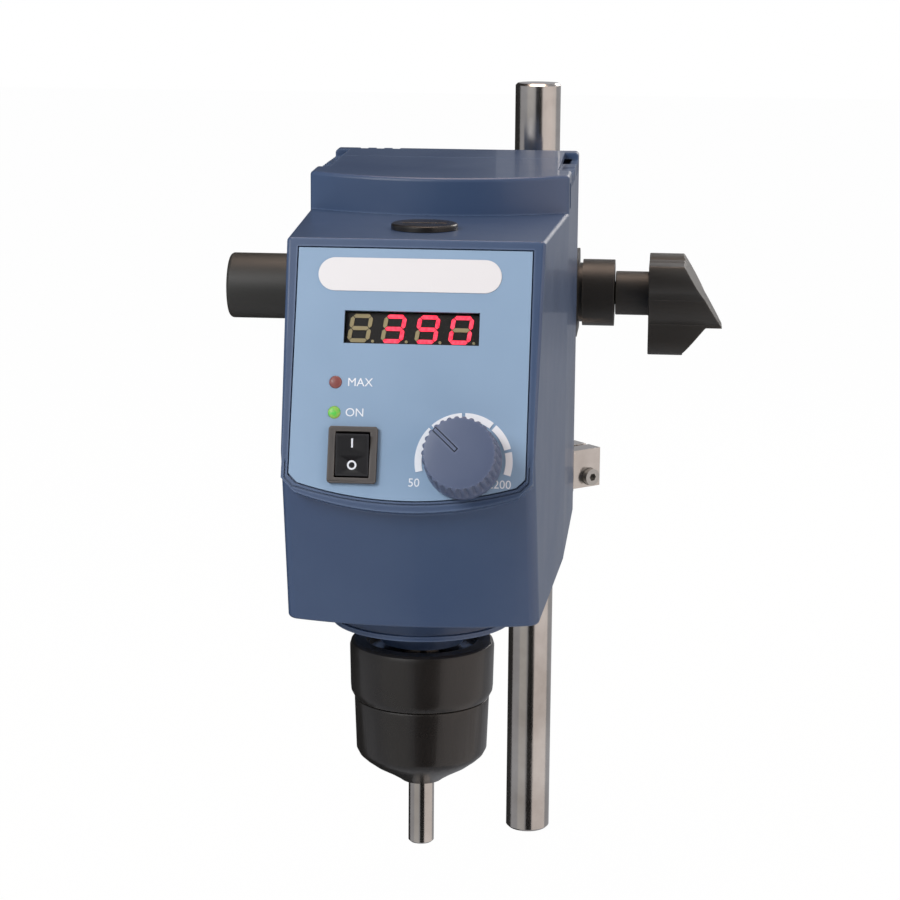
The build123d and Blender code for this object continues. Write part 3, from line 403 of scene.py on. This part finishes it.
def makePointerBlock(name, width, length, low, tall):  # A bar from near the rim towards the knob's middle
    k = knobShape
    bm = bmesh.new()
    bmesh.ops.create_cube(bm, size=1.0)
    bmesh.ops.scale(bm, verts=bm.verts, vec=(width, length, tall))
    middle = k["top"] - 0.6 - k["pointerLong"] / 2
    bmesh.ops.translate(bm, verts=bm.verts, vec=(0, middle, low + tall / 2))
    bmesh.ops.bevel(bm, geom=bm.edges[:], offset=0.12, offset_type="OFFSET", affect="EDGES", segments=2,
                    profile=0.5, material=-1)
    turn = Matrix.Rotation(radians(k["pointerTurn"]), 4, "Z")
    bmesh.ops.transform(bm, matrix=panelMatrix(k["u"], k["v"], k["lift"]) @ turn, verts=bm.verts)
    mesh = bpy.data.meshes.new(name)
    bm.to_mesh(mesh)
    bm.free()
    block = bpy.data.objects.new(name, mesh)
    bpy.context.scene.collection.objects.link(block)
    return block


def applyModifiers(piece):
    graph = bpy.context.evaluated_depsgraph_get()
    mesh = bpy.data.meshes.new_from_object(piece.evaluated_get(graph))
    piece.modifiers.clear()
    piece.data = mesh


prints = {  # words on the panel: text, u, v, height of the capitals
    "dialLow": ("50", 2.2, -70.9, 2.4),
    "dialHigh": ("2200", 26.6, -70.8, 2.4),
    "lampTop": ("MAX", -14.4, -42.3, 2.4),
    "lampLow": ("ON", -15.6, -51.1, 2.4),
}


def makePrints():
    for name, (words, u, v, tall) in prints.items():
        curve = bpy.data.curves.new(name, "FONT")
        curve.body = words
        curve.align_x = "CENTER"
        curve.align_y = "CENTER"
        curve.size = tall / 0.7
        curve.extrude = 0.03
        curve.resolution_u = 4
        text = bpy.data.objects.new(name + "Curve", curve)
        bpy.context.scene.collection.objects.link(text)
        graph = bpy.context.evaluated_depsgraph_get()
        mesh = bpy.data.meshes.new_from_object(text.evaluated_get(graph))
        bpy.data.objects.remove(text)
        mesh.transform(panelMatrix(u, v, 0.03))
        mesh.materials.clear()
        mesh.materials.append(finishes["print_white"])
        piece = bpy.data.objects.new(name, mesh)
        bpy.context.scene.collection.objects.link(piece)
        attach(piece, "head")


lampShape = {  # mm: place across the panel, both heights, and the lens
    "u": -21.5, "overload": -42.3, "power": -51.1, "radius": 1.8, "dome": 0.55, "deep": 3.0, "edge": 0.1,
}


def makeLamp(name, v, slotName, node):  # A domed lens standing in its hole
    s = lampShape
    bm = bmesh.new()
    made = bmesh.ops.create_circle(bm, segments=48, radius=s["radius"], cap_ends=False)
    edges = list({e for vert in made["verts"] for e in vert.link_edges})
    bmesh.ops.translate(bm, verts=bm.verts, vec=(0, 0, -s["deep"]))
    steps = 7
    for i in range(steps + 1):
        turn = pi / 2 * i / steps
        r = max(s["radius"] * cos(turn), 0.02)
        height = s["edge"] + s["dome"] * sin(turn)
        grown = bmesh.ops.extrude_edge_only(bm, edges=edges)["geom"]
        verts = [g for g in grown if isinstance(g, bmesh.types.BMVert)]
        edges = [g for g in grown if isinstance(g, bmesh.types.BMEdge)]
        for vert in verts:
            flat = Vector((vert.co.x, vert.co.y)).normalized() * r
            vert.co = Vector((flat.x, flat.y, height))
    bmesh.ops.remove_doubles(bm, verts=bm.verts, dist=0.03)
    bmesh.ops.holes_fill(bm, edges=[e for e in bm.edges if e.is_boundary], sides=0)
    bmesh.ops.recalc_face_normals(bm, faces=bm.faces)
    bmesh.ops.transform(bm, matrix=panelMatrix(s["u"], v), verts=bm.verts)
    newPiece(name, bm, finishes[slotName], "head", slotName, node)


display = {  # the digits behind the window, mm
    "u": -0.2, "v": -26.0, "w": -2.2, "pitch": 9.75, "width": 5.3, "height": 7.2, "bar": 1.15, "gap": 0.14,
    "slant": 8.0, "thick": 0.3, "shift": -0.5, "pointRadius": 0.42, "pointSide": 3.75, "pointLow": -3.75,
    "lit": {1: "abcdg", 2: "abcdfg", 3: "abcdef"},
}


def segmentPlaces():  # Middle of each bar, and whether it lies flat
    w, h = display["width"] / 2, display["height"] / 2
    return {
        "a": (0, h, True), "g": (0, 0, True), "d": (0, -h, True), "f": (-w, h / 2, False),
        "b": (w, h / 2, False), "e": (-w, -h / 2, False), "c": (w, -h / 2, False),
    }


def addBar(bm, u, x, y, flat):  # One bar with pointed ends
    d = display
    half = (d["width"] if flat else d["height"] / 2) / 2 - d["gap"]
    side = d["bar"] / 2
    outline = [(-half, 0), (-half + side, -side), (half - side, -side), (half, 0), (half - side, side),
               (-half + side, side)]
    corners = []
    for along, across in outline:
        px, py = (x + along, y + across) if flat else (x + across, y + along)
        corners.append(bm.verts.new((u + px + py * tan(radians(d["slant"])), py, 0)))
    face = bm.faces.new(corners)
    raised = bmesh.ops.extrude_face_region(bm, geom=[face])["geom"]
    tops = [g for g in raised if isinstance(g, bmesh.types.BMVert)]
    bmesh.ops.translate(bm, verts=tops, vec=(0, 0, d["thick"]))


def makeDigits():
    d = display
    groups = {"digit_red": bmesh.new(), "digit_beige": bmesh.new()}
    for digit in range(4):
        u = (digit - 1.5) * d["pitch"] + d["shift"]
        for key, (x, y, flat) in segmentPlaces().items():
            lit = key in d["lit"].get(digit, "")
            addBar(groups["digit_red" if lit else "digit_beige"], u, x, y, flat)
        spot = Matrix.Translation((u + d["pointSide"], d["pointLow"], d["thick"] / 2))
        bmesh.ops.create_cone(groups["digit_beige"], cap_ends=True, segments=20, radius1=d["pointRadius"],
                              radius2=d["pointRadius"], depth=d["thick"], matrix=spot)
    nodeOf = {"digit_red": "lit_segments", "digit_beige": "unlit_segments"}
    for slotName, bm in groups.items():
        bmesh.ops.recalc_face_normals(bm, faces=bm.faces)
        bmesh.ops.transform(bm, matrix=panelMatrix(d["u"], d["v"], d["w"]), verts=bm.verts)
        newPiece(slotName + "_bars", bm, finishes[slotName], "head", slotName, nodeOf[slotName])


makeSpeedKnob()
makePrints()
makeDigits()
makeLamp("overloadLens", lampShape["overload"], "lamp_red", "overload_lens")
makeLamp("powerLens", lampShape["power"], "lamp_green", "power_lens")
print("stage: panel pieces made")


# scene

camera = {  # metres, degrees, and the lens in mm
    "place": (0.0729, -0.7399, 0.2856), "azimuth": 5.0, "pitch": 12.15, "roll": 0.45, "lens": 100.0,
    "sensor": 36.0, "near": 0.05,
}


def setCamera():
    data = bpy.data.cameras.new("view")
    data.lens = camera["lens"]
    data.sensor_width = camera["sensor"]
    data.clip_start = camera["near"]
    eye = bpy.data.objects.new("view", data)
    bpy.context.scene.collection.objects.link(eye)
    az, pitch = radians(camera["azimuth"]), radians(camera["pitch"])
    forward = Vector((-sin(az) * cos(pitch), cos(az) * cos(pitch), -sin(pitch)))
    right = Vector((cos(az), sin(az), 0.0))
    up = right.cross(forward)
    turn = Matrix((right, up, -forward)).transposed()
    roll = Matrix.Rotation(radians(-camera["roll"]), 3, forward)
    eye.matrix_world = Matrix.Translation(camera["place"]) @ (roll @ turn).to_4x4()
    bpy.context.scene.camera = eye


worldGlow = {"colour": (0.94, 0.95, 1.0, 1.0), "strength": 0.4}


def setWorld():  # Soft light on the object, plain white for the camera
    world = bpy.data.worlds.new("studio")
    bpy.context.scene.world = world
    world.use_nodes = True
    tree = world.node_tree
    back = tree.nodes["Background"]
    out = tree.nodes["World Output"]
    white = tree.nodes.new("ShaderNodeBackground")
    path = tree.nodes.new("ShaderNodeLightPath")
    mix = tree.nodes.new("ShaderNodeMixShader")
    back.inputs["Color"].default_value = worldGlow["colour"]
    back.inputs["Strength"].default_value = worldGlow["strength"]
    white.inputs["Color"].default_value = (1.0, 1.0, 1.0, 1.0)
    white.inputs["Strength"].default_value = 1.0
    seen = tree.nodes.new("ShaderNodeMath")
    seen.operation = "MAXIMUM"
    tree.links.new(path.outputs["Is Camera Ray"], seen.inputs[0])
    tree.links.new(path.outputs["Is Transmission Ray"], seen.inputs[1])
    tree.links.new(seen.outputs[0], mix.inputs[0])
    tree.links.new(back.outputs[0], mix.inputs[1])
    tree.links.new(white.outputs[0], mix.inputs[2])
    tree.links.new(mix.outputs[0], out.inputs["Surface"])


lamps = {  # name: place, aim, size, watts, colour
    "key": ((-0.55, -0.75, 0.75), (0, 0, 0.12), 0.5, 7.2, (1.0, 1.0, 1.0)),
    "fill": ((0.75, -0.35, 0.35), (0, 0.03, 0.12), 0.6, 2.6, (1.0, 0.76, 0.62)),
    "top": ((0.0, 0.25, 1.0), (0, 0.05, 0.15), 0.6, 4.2, (1.0, 0.74, 0.58)),
    "back": ((0.4, 0.8, 0.5), (0, 0.1, 0.12), 0.5, 2.6, (1.0, 0.95, 0.9)),
}


def setLamps():
    for name, (place, aim, size, watts, colour) in lamps.items():
        data = bpy.data.lights.new(name, "AREA")
        data.shape = "DISK"
        data.size = size
        data.energy = watts
        data.color = colour
        lamp = bpy.data.objects.new(name, data)
        bpy.context.scene.collection.objects.link(lamp)
        lamp.location = place
        lamp.rotation_euler = (Vector(aim) - Vector(place)).to_track_quat("-Z", "Y").to_euler()


cards = {  # cards that only gloss sees: start and end angle from the front, distance, glow, colour
    "frontDark": (-6.0, 33.0, 0.55, 0.02, (1.0, 1.0, 1.0)),
    "leftGrey": (-62.0, -14.0, 0.6, 0.5, (1.0, 0.98, 0.96)),
    "rightPale": (34.0, 120.0, 0.6, 0.78, (1.0, 0.93, 0.9)),
    "rearDark": (-178.0, -112.0, 0.6, 0.03, (1.0, 1.0, 1.0)),
}
cardBand = {"low": -0.9, "high": 1.3, "steps": 12}


def setCards():  # Curved upright bands round the object
    for name, (start, end, distance, glow, colour) in cards.items():
        bm = bmesh.new()
        at = Matrix.Rotation(radians(start), 3, "Z") @ Vector((0, -distance, 0))
        low = bm.verts.new((at.x, at.y, cardBand["low"]))
        high = bm.verts.new((at.x, at.y, cardBand["high"]))
        edge = bm.edges.new((low, high))
        bmesh.ops.spin(bm, geom=[low, high, edge], cent=(0, 0, 0), axis=(0, 0, 1), dvec=(0, 0, 0),
                       angle=radians(end - start), steps=cardBand["steps"], use_merge=False)
        mesh = bpy.data.meshes.new(name)
        bm.to_mesh(mesh)
        bm.free()
        f = Finish(name + "Glow")
        f.feed(colour=(0.0, 0.0, 0.0, 1.0), rough=1.0, glow=colour + (1.0,), glowPower=glow, level=0.0)
        mesh.materials.append(f.mat)
        card = bpy.data.objects.new(name, mesh)
        bpy.context.scene.collection.objects.link(card)
        card.visible_camera = False
        card.visible_diffuse = False
        card.visible_shadow = False
        card.visible_transmission = False


floorPlan = {"size": 4.0, "below": 0.0005, "tone": 0.86, "rough": 0.6, "seenWhite": 0.985}


def setFloor():  # White for the camera, with a faint shadow
    bm = bmesh.new()
    bmesh.ops.create_grid(bm, x_segments=1, y_segments=1, size=floorPlan["size"])
    bmesh.ops.translate(bm, verts=bm.verts, vec=(0, 0, cadBox[0][2] - floorPlan["below"]))
    mesh = bpy.data.meshes.new("floor")
    bm.to_mesh(mesh)
    bm.free()
    f = Finish("floorWhite")
    f.feed(colour=(floorPlan["tone"],) * 3 + (1.0,), rough=floorPlan["rough"])
    seen = f.node("ShaderNodeLightPath", {}, {}, out="Is Camera Ray")
    glow = f.node("ShaderNodeEmission", {}, {"Color": (1, 1, 1, 1), "Strength": 1.0})
    mix = f.node("ShaderNodeMixShader", {}, {0: seen * floorPlan["seenWhite"]})
    mixNode = mix.link.node
    f.tree.links.new(f.shader.outputs[0], mixNode.inputs[1])
    f.tree.links.new(glow.link, mixNode.inputs[2])
    f.tree.links.new(mix.link, f.tree.nodes["Material Output"].inputs["Surface"])
    mesh.materials.append(f.mat)
    floor = bpy.data.objects.new("floor", mesh)
    bpy.context.scene.collection.objects.link(floor)
    floor.visible_glossy = False


setCamera()
setWorld()
setLamps()
setCards()
setFloor()
bpy.context.scene.view_settings.view_transform = "Standard"
print("stage: camera, lamps and floor set")
